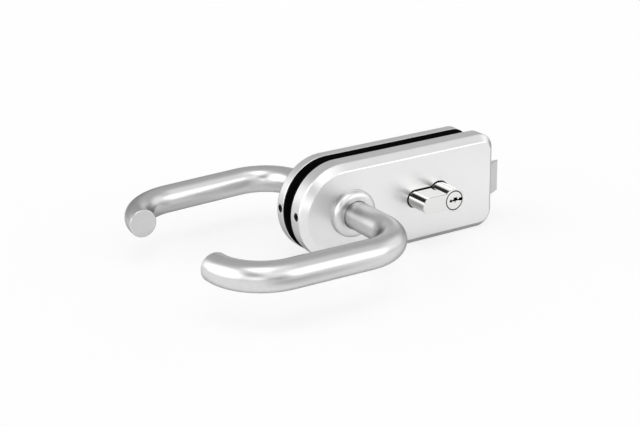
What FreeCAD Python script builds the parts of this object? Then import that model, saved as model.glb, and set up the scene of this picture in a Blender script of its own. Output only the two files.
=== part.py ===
import FreeCAD, Part
import math
import os

# A lever lock that clamps on the edge of a glass door: a key side, a rear side and the glass between.
# Lengths are in millimetres and angles in degrees.
# +X runs from the spindle to the latch, +Y from the key side to the rear side, and +Z is up.
# The origin is on the spindle's axis, in the middle of the glass.

# Glass and its two gaskets
glass_thickness = 8.0
gasket_thickness = 1.3
gasket_inset = 0.3
gasket_hub_gap = 1.0

# Covers: a D-shaped dish on each side of the glass
plate_height = 70.0
front_plate_length = 162.2
rear_plate_length = 155.3
plate_corner_radius = 12.2
front_cover_depth = 15.7
rear_cover_depth = 12.4
cover_wall = 1.8
cover_chamfer = 4.85
cover_shoulder_round = 1.6
cover_face_round = 1.1
cover_rim_bevel = 0.45
spindle_from_round_centre = 4.5

# Grub screws that hold the covers, seen at their round ends
cover_screw_radius = 2.5
cover_screw_length = 7.5
cover_screw_height = 2.4
cover_screw_sunk = 0.8
front_cover_screw_from_rim = 6.95
rear_cover_screw_from_rim = 3.6
hex_socket_width = 2.5
hex_socket_depth = 2.2

# Levers: bent tube, closed at the free end
lever_tube_radius = 9.8
lever_tube_wall = 1.5
lever_length = 123.3
front_grip_distance = 69.9
rear_grip_distance = 66.0
lever_neck_bend = 32.7
lever_return_bend = 34.3
front_lever_droop = -0.8
rear_lever_droop = 1.5
lever_turn = 45.0
lever_core_length = 24.0
lever_cap_thickness = 1.5
lever_cap_bevel = 0.5
lever_cap_plug_length = 6.0
lever_screw_radius = 2.5
lever_screw_from_face = 13.0

# Roses: the raised collars round the lever necks
rose_radius = 16.7
rose_height = 5.6
rose_side_height = 1.6
rose_lip_radius = 12.0
rose_spigot_radius = 13.2
rose_bush_radius = 12.0
rose_lip_thickness = 1.4

# Spindle and follower
spindle_width = 8.0
spindle_grip_length = 19.0
spindle_end_gap = 1.0
follower_hub_radius = 9.5
follower_journal_radius = 7.5
follower_tip_radius = 2.5
follower_arm_half_width = 1.7
spring_arm_reach = 14.5
lock_arm_reach = 14.0
lock_arm_tip_radius = 2.2
stop_post_radius = 2.2

# Latch
latch_travel = 11.7
latch_throw = 12.0
latch_height = 22.7
latch_centre_height = -2.25
latch_thickness = 7.8
latch_tip_thickness = 1.4
latch_tip_round = 1.8
latch_body_length = 34.7
tail_height = 6.5
tail_above_hub = 0.6
guide_length = 7.0
guide_side = 4.0

# Profile cylinder, its stem pointing at the levers
cylinder_from_spindle = 72.1
cylinder_height_offset = -0.35
barrel_radius = 8.5
stem_half_width = 5.8
cylinder_overall = 34.8
cylinder_front_proud = 18.5
cylinder_rear_proud = 2.8
cylinder_edge_bevel = 0.3
plug_radius = 6.2
plug_head_radius = 6.75
plug_head_length = 2.2
plug_edge_bevel = 0.2
plug_tail_radius = 5.0
cam_ring_radius = 8.1
cam_gap_width = 10.0
cam_tooth_reach = 12.0
cam_tooth_tip_radius = 2.0
cam_tooth_neck_half_width = 1.3
key_turn = 60.0
pin_radius = 1.4
pin_pitch = 3.9
pin_count = 5
last_pin_from_cam = 2.25
pin_length = 4.4
key_pin_length = 3.0
chamber_end_wall = 1.0
cylinder_screw_radius = 2.0
cylinder_screw_head_radius = 3.4
cylinder_screw_head_height = 1.9
cylinder_screw_slot_depth = 1.0
cylinder_screw_end_wall = 1.0
plug_clip_thickness = 0.8
plug_clip_width = 2.4

# Keyway: how far it reaches left and right of the plug's axis, above it and below it
keyway_left = 4.0
keyway_above = 0.5
keyway_below = 0.55
keyway_end_width = 1.9
keyway_end_above = 1.0
keyway_end_below = 0.95
keyway_rise_left = 0.75
keyway_rise_right = 2.4
keyway_rise_above = 2.0
keyway_mouth_right = 4.0
keyway_mouth_above = 1.25
keyway_mouth_below = 1.0
keyway_notch_left = 1.0
keyway_notch_right = 1.25
keyway_notch_below = 2.0
keyway_notch_depth = 0.6

# Locking slide
slide_thickness = 2.4
slide_bar_height = 9.5
slide_finger_half_height = 2.3
slide_finger_length = 7.0
slide_leg_width = 7.0
slide_lug_width = 3.5
slide_peg_radius = 2.0
slide_shoulder_radius = 3.5
slide_lock_gap = 2.0
slide_slot_web = 5.4

# Lock case and rear base plate
case_floor_thickness = 1.9
case_wall = 1.5
case_wall_inset = 4.4
case_lid_thickness = 1.2
lid_edge_land = 0.1
rear_plate_thickness = 2.0
screw_lug_depth = 5.6
screw_lug_half_width = 4.6
screw_lug_wall = 1.0
lid_post_radius = 3.0
lid_screw_radius = 1.25
lid_screw_head_radius = 2.5
lid_screw_length = 7.0
lid_screw_end_gap = 1.0
lid_post_from_round_centre = 19.2
lid_post_below_axis = 5.1
lid_post_from_wall = 7.1
low_lid_post_from_wall = 10.1
spring_stop_from_barrel = 2.0
spring_stop_thickness = 3.0
spring_stop_margin = 1.0
tongue_half_width = 2.5
tongue_height = 18.5
tongue_length = 1.2
tongue_root = 0.7

# Screws and sleeves through the glass
clamp_edge_distance = 12.0
clamp_from_right_end = 18.7
clamp_sleeve_radius = 4.5
clamp_screw_radius = 2.5
clamp_screw_length = 12.0
clamp_head_radius = 4.2
clamp_head_height = 2.8
clamp_socket_floor = 1.0

# Springs
return_spring_radius = 2.6
return_spring_wire = 0.4
return_spring_turns = 10
return_spring_seat_thickness = 1.5
return_spring_peg_length = 6.0
latch_spring_radius = 2.7
latch_spring_wire = 0.4
latch_spring_turns = 10
latch_spring_bore_depth = 12.0
pin_spring_radius = 1.0
pin_spring_wire = 0.2
pin_spring_turns = 6

# Clearances
seat_gap = 0.3
running_gap = 0.06
press_gap = 0.02
square_gap = 0.14
pin_gap = 0.05
cylinder_gap = 0.35
cylinder_window_gap = 0.75
cap_gap = 0.08

# Shapes: how far a cut reaches past a face, the sides of a hex socket,
# and the share of a slope of 45 degrees along each axis
cut_past = 1.0
hex_sides = 6
diagonal_share = math.sqrt(0.5)

# Levels along Y, from the middle of the glass outwards
gap_half = glass_thickness / 2 + gasket_thickness
front_rim = -gap_half
front_face = front_rim - front_cover_depth
rear_rim = gap_half
rear_face = rear_rim + rear_cover_depth
case_floor = front_rim - case_floor_thickness
lid_front = front_face + cover_wall + seat_gap
lid_back = lid_front + case_lid_thickness
slide_front = lid_back + seat_gap
slide_back = slide_front + slide_thickness
works_front = slide_back + seat_gap
works_back = case_floor - seat_gap
case_middle = (lid_back + case_floor) / 2

# Plate outline along X and Z
plate_radius = plate_height / 2
round_x = -spindle_from_round_centre
left_x = round_x - plate_radius
front_right_x = left_x + front_plate_length
rear_right_x = left_x + rear_plate_length
case_inside_inset = case_wall_inset + case_wall
case_half_height = plate_radius - case_inside_inset

# Cylinder places
cylinder_x = cylinder_from_spindle
cylinder_z = cylinder_height_offset
cylinder_front = front_face - cylinder_front_proud
cylinder_rear = rear_face + cylinder_rear_proud
stem_round_x = cylinder_x + barrel_radius - cylinder_overall + stem_half_width
cam_gap_front = case_middle - cam_gap_width / 2
cam_gap_back = case_middle + cam_gap_width / 2

# Latch places
latch_back = works_back
latch_front = latch_back - latch_thickness
latch_low = latch_centre_height - latch_height / 2
latch_high = latch_centre_height + latch_height / 2
latch_tip_x = front_right_x + latch_throw
latch_rear_x = latch_tip_x - latch_body_length
half_turn = math.radians(lever_turn / 2)
latch_arm_reach = latch_travel / (2 * math.sin(half_turn))
tail_low = follower_hub_radius + tail_above_hub
tail_high = tail_low + tail_height

# Clamp sleeves and screws: the corners of a rectangle
clamp_ring = plate_radius - clamp_edge_distance
clamp_reach = clamp_ring * diagonal_share
clamp_points = []
for side in (1, -1):
    clamp_points.append((round_x - clamp_reach, side * clamp_reach))
    clamp_points.append((front_right_x - clamp_from_right_end, side * clamp_reach))


def point(x, y, z):
    return FreeCAD.Vector(x, y, z)


along_x = point(1, 0, 0)
along_y = point(0, 1, 0)
along_z = point(0, 0, 1)


def block(x_low, x_high, y_low, y_high, z_low, z_high):
    return Part.makeBox(x_high - x_low, y_high - y_low, z_high - z_low, point(x_low, y_low, z_low))


def rod_x(radius, y, z, x_low, x_high):
    return Part.makeCylinder(radius, x_high - x_low, point(x_low, y, z), along_x)


def rod_y(radius, x, z, y_low, y_high):
    return Part.makeCylinder(radius, y_high - y_low, point(x, y_low, z), along_y)


def rod_z(radius, x, y, z_low, z_high):
    return Part.makeCylinder(radius, z_high - z_low, point(x, y, z_low), along_z)


def joined(first, others):
    return first.fuse(others).removeSplitter()


def edges_at(shape, y):
    # edges that lie wholly in the plane at this Y
    close = 0.001
    found = []
    for edge in shape.Edges:
        span = edge.BoundBox
        if abs(span.YMin - y) < close and abs(span.YMax - y) < close:
            found.append(edge)
    return found


def outline(inset, right_x):
    # D-shape: a half circle at the levers' end and two round corners at the latch end
    radius = plate_radius - inset
    corner = plate_corner_radius - inset
    right = right_x - inset
    turn = right - corner
    rise = radius - corner
    diagonal = corner * diagonal_share
    top_left = point(round_x, 0, radius)
    top_right = point(turn, 0, radius)
    right_top = point(right, 0, rise)
    right_bottom = point(right, 0, -rise)
    bottom_right = point(turn, 0, -radius)
    bottom_left = point(round_x, 0, -radius)
    upper_arc = Part.Arc(top_right, point(turn + diagonal, 0, rise + diagonal), right_top)
    lower_arc = Part.Arc(right_bottom, point(turn + diagonal, 0, -rise - diagonal), bottom_right)
    left_arc = Part.Arc(bottom_left, point(round_x - radius, 0, 0), top_left)
    edges = [
        Part.LineSegment(top_left, top_right).toShape(),
        upper_arc.toShape(),
        Part.LineSegment(right_top, right_bottom).toShape(),
        lower_arc.toShape(),
        Part.LineSegment(bottom_right, bottom_left).toShape(),
        left_arc.toShape(),
    ]
    return Part.Face(Part.Wire(edges))


def plate(inset, right_x, y_low, y_high):
    face = outline(inset, right_x)
    face.translate(point(0, y_low, 0))
    return face.extrude(point(0, y_high - y_low, 0))


def plate_between(inset, right_x, y_one, y_other):
    return plate(inset, right_x, min(y_one, y_other), max(y_one, y_other))


def cylinder_profile(grow, y_low, y_high):
    # barrel and stem of the profile cylinder, grown by a clearance where it is a hole
    half_width = stem_half_width + grow
    barrel = rod_y(barrel_radius + grow, cylinder_x, cylinder_z, y_low, y_high)
    low = cylinder_z - half_width
    high = cylinder_z + half_width
    stem = block(stem_round_x, cylinder_x, y_low, y_high, low, high)
    stem_end = rod_y(half_width, stem_round_x, cylinder_z, y_low, y_high)
    return joined(barrel, [stem, stem_end])


def hex_socket(x, y, z, depth):
    # a hexagonal socket that opens towards -X
    side_angle = 2 * math.pi / hex_sides
    corner = hex_socket_width / 2 / math.cos(side_angle / 2)
    corners = []
    for step in range(hex_sides + 1):
        angle = side_angle * step
        corners.append(point(x, y + corner * math.cos(angle), z + corner * math.sin(angle)))
    return Part.Face(Part.makePolygon(corners)).extrude(point(depth, 0, 0))


def cover(right_x, rim, face, outward):
    body = plate_between(0, right_x, rim, face)
    body = body.makeChamfer(cover_chamfer, edges_at(body, face))
    body = body.makeFillet(cover_shoulder_round, edges_at(body, face - outward * cover_chamfer))
    body = body.makeFillet(cover_face_round, edges_at(body, face))
    body = body.makeChamfer(cover_rim_bevel, edges_at(body, rim))
    inner_face = face - outward * cover_wall
    inside = plate_between(cover_wall, right_x, rim, inner_face)
    # the inner chamfer runs parallel to the outer one, one wall away
    inner_chamfer = cover_chamfer - 2 * cover_wall * (1 - diagonal_share)
    inside = inside.makeChamfer(inner_chamfer, edges_at(inside, inner_face))
    body = body.cut(inside)
    low = min(face, inner_face) - cut_past
    high = max(face, inner_face) + cut_past
    body = body.cut(rod_y(rose_spigot_radius + press_gap, 0, 0, low, high))
    return body.cut(cylinder_profile(cylinder_window_gap, low, high))


def cover_screw_hole(y):
    hole_end = left_x + 3 * cover_wall
    return rod_x(cover_screw_radius + seat_gap, y, cover_screw_height, left_x - cut_past, hole_end)


def cover_screw(y):
    start = left_x + cover_screw_sunk
    screw = rod_x(cover_screw_radius, y, cover_screw_height, start, start + cover_screw_length)
    return screw.cut(hex_socket(start, y, cover_screw_height, hex_socket_depth))


def screw_lug(y, base, top):
    # the threaded block behind a cover's grub screw
    left = left_x + case_wall_inset
    right = left + screw_lug_depth
    low = cover_screw_height - screw_lug_half_width
    high = cover_screw_height + screw_lug_half_width
    lug = block(left, right, min(base, top), max(base, top), low, high)
    return lug


def tongues(right_x, y_low, y_high, grow):
    # two tongues on a base plate that hook into the cover's square end, grown where they are slots
    start = right_x - cover_wall - seat_gap - tongue_root
    stop = right_x - cover_wall - seat_gap + tongue_length + grow
    half = tongue_half_width + grow
    pair = []
    for middle in (-tongue_height, tongue_height):
        pair.append(block(start, stop, y_low - grow, y_high + grow, middle - half, middle + half))
    return pair


def gasket(right_x, y_low, y_high):
    body = plate(gasket_inset, right_x, y_low, y_high)
    body = body.cut(rod_y(follower_hub_radius + gasket_hub_gap, 0, 0, y_low - cut_past, y_high + cut_past))
    body = body.cut(cylinder_profile(cylinder_gap, y_low - cut_past, y_high + cut_past))
    for x, z in clamp_points:
        body = body.cut(rod_y(clamp_sleeve_radius + seat_gap, x, z, y_low - cut_past, y_high + cut_past))
    return body


def rose(face, outward):
    # a domed collar: short straight side, quarter-round shoulder, flat lip round the neck
    top = face + outward * rose_height
    side_top = face + outward * rose_side_height
    bore = lever_tube_radius + seat_gap
    spigot_end = face - outward * (cover_wall - seat_gap / 2)
    bush_seat = top - outward * rose_lip_thickness
    shoulder_middle_radius = rose_lip_radius + (rose_radius - rose_lip_radius) * diagonal_share
    shoulder_middle = side_top + (top - side_top) * diagonal_share
    shoulder = Part.Arc(
        point(rose_radius, side_top, 0),
        point(shoulder_middle_radius, shoulder_middle, 0),
        point(rose_lip_radius, top, 0),
    ).toShape()
    corners = [
        point(rose_lip_radius, top, 0),
        point(bore, top, 0),
        point(bore, bush_seat, 0),
        point(rose_bush_radius, bush_seat, 0),
        point(rose_bush_radius, spigot_end, 0),
        point(rose_spigot_radius, spigot_end, 0),
        point(rose_spigot_radius, face, 0),
        point(rose_radius, face, 0),
        point(rose_radius, side_top, 0),
    ]
    edges = [shoulder]
    for start, stop in zip(corners[:-1], corners[1:]):
        edges.append(Part.LineSegment(start, stop).toShape())
    profile = Part.Face(Part.Wire(Part.__sortEdges__(edges)))
    return profile.revolve(point(0, 0, 0), along_y, 360)


def rose_bush(face, outward):
    start = face + outward * (rose_height - rose_lip_thickness)
    stop = face - outward * (cover_wall - seat_gap / 2)
    low = min(start, stop)
    high = max(start, stop)
    outer = rod_y(rose_bush_radius - press_gap, 0, 0, low, high)
    return outer.cut(rod_y(lever_tube_radius + running_gap, 0, 0, low - cut_past, high + cut_past))


def bent_bar(radius, root, grip, outward, tip_back):
    # neck, bend, grip and return bend, stopping short of the tip by tip_back
    neck_end = grip - outward * lever_neck_bend
    grip_end_x = lever_return_bend - lever_length
    tip = grip - outward * lever_return_bend
    quarter = outward * 90
    neck_disc = Part.Face(Part.Wire(Part.makeCircle(radius, point(0, root, 0), along_y)))
    neck = neck_disc.extrude(point(0, neck_end - root, 0))
    bend_disc = Part.Face(Part.Wire(Part.makeCircle(radius, point(0, neck_end, 0), along_y)))
    neck_bend = bend_disc.revolve(point(-lever_neck_bend, neck_end, 0), along_z, quarter)
    grip_disc = Part.Face(Part.Wire(Part.makeCircle(radius, point(-lever_neck_bend, grip, 0), along_x)))
    grip_bar = grip_disc.extrude(point(grip_end_x + lever_neck_bend, 0, 0))
    return_disc = Part.Face(Part.Wire(Part.makeCircle(radius, point(grip_end_x, grip, 0), along_x)))
    return_bend = return_disc.revolve(point(grip_end_x, tip, 0), along_z, quarter)
    bar = neck.fuse([neck_bend, grip_bar, return_bend])
    if tip_back > 0:
        past_tip = tip - outward * cut_past
        new_end = tip + outward * tip_back
        reach = radius + cut_past
        left = -lever_length - reach
        right = -lever_length + reach
        bar = bar.cut(block(left, right, min(past_tip, new_end), max(past_tip, new_end), -reach, reach))
    return bar.removeSplitter()


def lever_parts(face, outward, grip_distance, droop):
    # the tube, its core at the spindle, its end cap and its grub screw
    grip = face + outward * grip_distance
    root = face - outward * (cover_wall - seat_gap)
    tip = grip - outward * lever_return_bend
    inner = lever_tube_radius - lever_tube_wall
    solid_bar = bent_bar(lever_tube_radius, root, grip, outward, lever_cap_thickness)
    hollow = bent_bar(inner, root, grip, outward, 0)
    tube = solid_bar.cut(hollow)
    core_end = root + outward * lever_core_length
    core = rod_y(inner - press_gap, 0, 0, min(root, core_end), max(root, core_end))
    hole = spindle_width / 2 + square_gap
    hole_end = root + outward * (spindle_grip_length + spindle_end_gap)
    hole_low = min(root - outward, hole_end)
    hole_high = max(root - outward, hole_end)
    core = core.cut(block(-hole, hole, hole_low, hole_high, -hole, hole))
    screw_y = face + outward * lever_screw_from_face
    screw_low = -lever_tube_radius + cover_screw_sunk
    screw_high = -spindle_width / 2 - square_gap
    thread_radius = lever_screw_radius + press_gap
    path_low = -lever_tube_radius - cut_past
    screw_path = rod_z(thread_radius, 0, screw_y, path_low, -hole + cut_past)
    tube = tube.cut(screw_path)
    core = core.cut(screw_path)
    screw = rod_z(lever_screw_radius, 0, screw_y, screw_low, screw_high)
    socket = rod_z(hex_socket_width / 2, 0, screw_y, screw_low, screw_low + hex_socket_depth)
    screw = screw.cut(socket)
    cap_low = min(tip, tip + outward * lever_cap_thickness)
    cap = rod_y(lever_tube_radius, -lever_length, 0, cap_low, cap_low + lever_cap_thickness)
    cap = cap.makeChamfer(lever_cap_bevel, edges_at(cap, tip))
    plug_start = tip + outward * lever_cap_thickness
    plug = bent_bar(inner - cap_gap, root, grip, outward, lever_cap_thickness)
    plug_stop = plug_start + outward * lever_cap_plug_length
    keep_low = min(plug_start, plug_stop)
    keep_high = max(plug_start, plug_stop)
    far = lever_length + 2 * lever_tube_radius
    near = lever_length - lever_return_bend
    keep = block(-far, -near, keep_low, keep_high, -lever_tube_radius, lever_tube_radius)
    cap = joined(cap, [plug.common(keep)])
    parts = [tube, core, cap, screw]
    for part in parts:
        part.rotate(point(0, 0, 0), along_y, -droop)
    return parts


def arm(angle, reach, tip_radius, y_low, y_high):
    # a straight arm with a round tip, at this angle from +X towards +Z
    half = min(follower_arm_half_width, tip_radius)
    bar = block(0, reach, y_low, y_high, -half, half)
    tip = rod_y(tip_radius, reach, 0, y_low, y_high)
    shape = bar.fuse(tip)
    shape.rotate(point(0, 0, 0), along_y, -angle)
    return shape


def coil(radius, wire, turns, length):
    # a helical spring along +Z, its wire's outer faces at 0 and at length
    rise = length - 2 * wire
    helix = Part.makeHelix(rise / turns, rise, radius)
    section = Part.Wire(Part.makeCircle(wire, point(radius, 0, 0), along_y))
    spring = Part.Wire(helix.Edges).makePipeShell([section], True, True)
    spring.translate(point(0, 0, wire))
    return spring


def spring_along(direction, start, radius, wire, turns, length):
    spring = coil(radius, wire, turns, length)
    turn = FreeCAD.Rotation(along_z, direction)
    spring.Placement = FreeCAD.Placement(start, turn).multiply(spring.Placement)
    return spring


pieces = {}

# Covers, with the latch's window in the front one
front_screw_y = front_rim - front_cover_screw_from_rim
rear_screw_y = rear_rim + rear_cover_screw_from_rim
front_cover = cover(front_right_x, front_rim, front_face, -1)
front_cover = front_cover.cut(cover_screw_hole(front_screw_y))
window = block(
    front_right_x - 3 * cover_wall,
    front_right_x + cut_past,
    latch_front - seat_gap,
    latch_back + seat_gap,
    latch_low - seat_gap,
    latch_high + seat_gap,
)
front_cover = front_cover.cut(window)
front_cover = front_cover.cut(tongues(front_right_x, case_floor, front_rim, seat_gap / 2))
rear_cover = cover(rear_right_x, rear_rim, rear_face, 1)
rear_cover = rear_cover.cut(cover_screw_hole(rear_screw_y))
rear_plate_top = rear_rim + rear_plate_thickness
rear_cover = rear_cover.cut(tongues(rear_right_x, rear_rim, rear_plate_top, seat_gap / 2))
pieces["front_cover"] = front_cover
pieces["rear_cover"] = rear_cover
pieces["front_cover_screw"] = cover_screw(front_screw_y)
pieces["rear_cover_screw"] = cover_screw(rear_screw_y)

# Gaskets that take the glass between them, both as long as the shorter cover
pieces["front_gasket"] = gasket(rear_right_x, front_rim, front_rim + gasket_thickness)
pieces["rear_gasket"] = gasket(rear_right_x, rear_rim - gasket_thickness, rear_rim)

# Roses and the plain bushes in them
pieces["front_rose"] = rose(front_face, -1)
pieces["rear_rose"] = rose(rear_face, 1)
pieces["front_rose_bush"] = rose_bush(front_face, -1)
pieces["rear_rose_bush"] = rose_bush(rear_face, 1)

# Levers
front_parts = lever_parts(front_face, -1, front_grip_distance, front_lever_droop)
rear_parts = lever_parts(rear_face, 1, rear_grip_distance, rear_lever_droop)
for side, parts in (("front", front_parts), ("rear", rear_parts)):
    pieces[side + "_lever"] = parts[0]
    pieces[side + "_lever_core"] = parts[1]
    pieces[side + "_lever_cap"] = parts[2]
    pieces[side + "_lever_screw"] = parts[3]

# Spindle through both levers and the follower
spindle_half = spindle_width / 2
spindle_front = front_face + cover_wall - spindle_grip_length
spindle_rear = rear_face - cover_wall + spindle_grip_length
spindle = block(-spindle_half, spindle_half, spindle_front, spindle_rear, -spindle_half, spindle_half)
pieces["spindle"] = spindle

# Follower: a hub with a latch arm, a spring arm and a lock arm
hub = rod_y(follower_hub_radius, 0, 0, slide_front, works_back)
journal = rod_y(follower_journal_radius, 0, 0, lid_front + seat_gap, front_rim - seat_gap)
latch_arm = arm(90 - lever_turn / 2, latch_arm_reach, follower_tip_radius, works_front, works_back)
spring_arm = arm(180 - lever_turn / 2, spring_arm_reach, follower_tip_radius, works_front, works_back)
lock_arm = arm(-lever_turn / 2, lock_arm_reach, lock_arm_tip_radius, slide_front, works_back)
follower = joined(hub, [journal, latch_arm, spring_arm, lock_arm])
square = spindle_half + square_gap / 2
follower = follower.cut(block(-square, square, lid_front, front_rim, -square, square))
pieces["follower"] = follower

# Return spring under the spring arm, on a peg of the case
spring_arm_x = -spring_arm_reach * math.cos(half_turn)
return_spring_half = return_spring_radius + return_spring_wire
spring_right = spring_arm_x + return_spring_half
spring_left_from_centre = spring_arm_x - return_spring_half - round_x
case_depth_there = math.sqrt(case_half_height**2 - spring_left_from_centre**2)
return_spring_low = return_spring_seat_thickness - case_depth_there
arm_underside = -spring_right * math.tan(half_turn) - follower_arm_half_width / math.cos(half_turn)
return_spring_high = arm_underside - seat_gap
return_spring_y = (works_front + works_back) / 2
pieces["return_spring"] = spring_along(
    along_z,
    point(spring_arm_x, return_spring_y, return_spring_low),
    return_spring_radius,
    return_spring_wire,
    return_spring_turns,
    return_spring_high - return_spring_low,
)

# Latch bolt: bevelled head, neck, and a tail that runs over the cylinder to the follower
bevel_corners = [
    point(latch_rear_x, latch_front, latch_low),
    point(front_right_x, latch_front, latch_low),
    point(latch_tip_x, latch_back - latch_tip_thickness, latch_low),
    point(latch_tip_x, latch_back, latch_low),
    point(latch_rear_x, latch_back, latch_low),
    point(latch_rear_x, latch_front, latch_low),
]
latch_head = Part.Face(Part.makePolygon(bevel_corners)).extrude(point(0, 0, latch_height))
tip_edges = []
for edge in edges_at(latch_head, latch_back - latch_tip_thickness):
    if abs(edge.BoundBox.XMin - latch_tip_x) < latch_tip_round / 2:
        tip_edges.append(edge)
latch_head = latch_head.makeFillet(latch_tip_round, tip_edges)
guide_left = front_right_x - case_inside_inset - guide_length
neck_x = guide_left - seat_gap
latch_neck = block(latch_rear_x, neck_x, slide_front, latch_back, tail_low - tail_height, tail_high)
arm_tip_x = latch_arm_reach * math.sin(half_turn)
hook_right = arm_tip_x - follower_tip_radius - seat_gap
hook_left = hook_right - 2 * follower_tip_radius
tail_bar = block(hook_left, neck_x, slide_front, slide_back, tail_low, tail_high)
hook_low = latch_arm_reach * math.cos(half_turn) - follower_tip_radius / 2
hook = block(hook_left, hook_right, slide_front, latch_back, hook_low, tail_high)
latch_bolt = joined(latch_head, [latch_neck, tail_bar, hook])
spring_bore_radius = latch_spring_radius + latch_spring_wire + seat_gap
latch_middle = (latch_front + latch_back) / 2
bore_end = latch_rear_x + latch_spring_bore_depth
bore_start = latch_rear_x - cut_past
spring_bore = rod_x(spring_bore_radius, latch_middle, latch_centre_height, bore_start, bore_end)
latch_bolt = latch_bolt.cut(spring_bore)
pieces["latch_bolt"] = latch_bolt

# Latch spring, between a stop in the case and the end of the bore in the latch
spring_stop_x = cylinder_x + barrel_radius + spring_stop_from_barrel
spring_stop_right = spring_stop_x + spring_stop_thickness
pieces["latch_spring"] = spring_along(
    along_x,
    point(spring_stop_right, latch_middle, latch_centre_height),
    latch_spring_radius,
    latch_spring_wire,
    latch_spring_turns,
    bore_end - spring_stop_right,
)

# Latch guide: a block with a channel that the head slides in
guide_right = front_right_x - case_inside_inset
guide_low = latch_low - seat_gap - guide_side
guide_high = latch_high + seat_gap + guide_side
latch_guide = block(guide_left, guide_right, lid_back, case_floor, guide_low, guide_high)
channel = block(
    guide_left - cut_past,
    guide_right + cut_past,
    latch_front - seat_gap,
    case_floor + cut_past,
    latch_low - seat_gap,
    latch_high + seat_gap,
)
pieces["latch_guide"] = latch_guide.cut(channel)

# Cylinder body, bored for the plugs and cut away for the cam
cylinder_body = cylinder_profile(0, cylinder_front, cylinder_rear)
cylinder_body = cylinder_body.makeChamfer(cylinder_edge_bevel, edges_at(cylinder_body, cylinder_front))
cylinder_body = cylinder_body.makeChamfer(cylinder_edge_bevel, edges_at(cylinder_body, cylinder_rear))
before_front = cylinder_front - cut_past
past_rear = cylinder_rear + cut_past
plug_bore = rod_y(plug_radius + running_gap, cylinder_x, cylinder_z, before_front, past_rear)
head_bore_radius = plug_head_radius + running_gap
front_head_bore_end = cylinder_front + plug_head_length
rear_head_bore_end = cylinder_rear - plug_head_length
front_head_bore = rod_y(head_bore_radius, cylinder_x, cylinder_z, before_front, front_head_bore_end)
rear_head_bore = rod_y(head_bore_radius, cylinder_x, cylinder_z, rear_head_bore_end, past_rear)
cam_swing = cam_tooth_reach + cam_tooth_tip_radius + seat_gap
cam_space = rod_y(cam_swing, cylinder_x, cylinder_z, cam_gap_front, cam_gap_back)
cylinder_body = cylinder_body.cut(plug_bore)
cylinder_body = cylinder_body.cut(front_head_bore)
cylinder_body = cylinder_body.cut(rear_head_bore)
front_ring_bevel = Part.makeCone(
    head_bore_radius + plug_edge_bevel,
    head_bore_radius,
    plug_edge_bevel,
    point(cylinder_x, cylinder_front, cylinder_z),
    along_y,
)
rear_ring_bevel = Part.makeCone(
    head_bore_radius,
    head_bore_radius + plug_edge_bevel,
    plug_edge_bevel,
    point(cylinder_x, cylinder_rear - plug_edge_bevel, cylinder_z),
    along_y,
)
cylinder_body = cylinder_body.cut(front_ring_bevel)
cylinder_body = cylinder_body.cut(rear_ring_bevel)
cylinder_body = cylinder_body.cut(cam_space)
stem_left_x = stem_round_x - stem_half_width
cylinder_screw_x = (cylinder_x - cam_swing + stem_left_x) / 2
cylinder_screw_top = cylinder_z + stem_half_width - cylinder_screw_end_wall
screw_hole_radius = cylinder_screw_radius + press_gap
screw_hole_top = cylinder_screw_top + cut_past
screw_hole = rod_z(screw_hole_radius, cylinder_screw_x, case_middle, -plate_radius, screw_hole_top)
cylinder_body = cylinder_body.cut(screw_hole)

# Pin stacks: a blind chamber, a pin in the plug, a driver pin and a spring for each
chamber_radius = pin_radius + pin_gap
stack_left = stem_left_x + chamber_end_wall


def pin_rows(cam_edge, outward):
    # the pins' places along the plug, counted from the gap of the cam
    rows = []
    for number in range(pin_count):
        rows.append(cam_edge + outward * (last_pin_from_cam + number * pin_pitch))
    return rows


def keyway_part(left, right, below, above, low, high):
    # one rectangle of the keyway, measured from the plug's axis
    return block(cylinder_x + left, cylinder_x + right, low, high, cylinder_z - below, cylinder_z + above)


def keyway(low, high):
    # a zigzag slot, open at the side of the plug away from the pins
    side = plug_head_radius + cut_past
    slot = keyway_part(-keyway_left, side, keyway_below, keyway_above, low, high)
    end_right = keyway_end_width - keyway_left
    end = keyway_part(-keyway_left, end_right, keyway_end_below, keyway_end_above, low, high)
    rise = keyway_part(-keyway_rise_left, keyway_rise_right, keyway_below, keyway_rise_above, low, high)
    mouth = keyway_part(keyway_mouth_right, side, keyway_mouth_below, keyway_mouth_above, low, high)
    return slot.fuse([end, rise, mouth])


def shaped_plug(end, outward):
    # a plug with a wide bevelled head, a narrow tail into the cam and a keyway with a shallow notch
    body_end = cam_gap_front if outward < 0 else cam_gap_back
    head_end = end - outward * (plug_head_length - pin_gap)
    tail_end = case_middle + outward * seat_gap / 2
    notch_end = end - outward * keyway_notch_depth
    head = rod_y(plug_head_radius, cylinder_x, cylinder_z, min(end, head_end), max(end, head_end))
    head = head.makeChamfer(plug_edge_bevel, edges_at(head, end))
    body = rod_y(plug_radius, cylinder_x, cylinder_z, min(head_end, body_end), max(head_end, body_end))
    tail = rod_y(plug_tail_radius, cylinder_x, cylinder_z, min(head_end, tail_end), max(head_end, tail_end))
    shape = joined(head, [body, tail])
    low = min(end + outward, body_end)
    high = max(end + outward, body_end)
    shape = shape.cut(keyway(low, high))
    notch_low = min(end + outward, notch_end)
    notch_high = max(end + outward, notch_end)
    below = keyway_notch_below
    notch = keyway_part(-keyway_notch_left, keyway_notch_right, below, 0, notch_low, notch_high)
    return shape.cut(notch)


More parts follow.
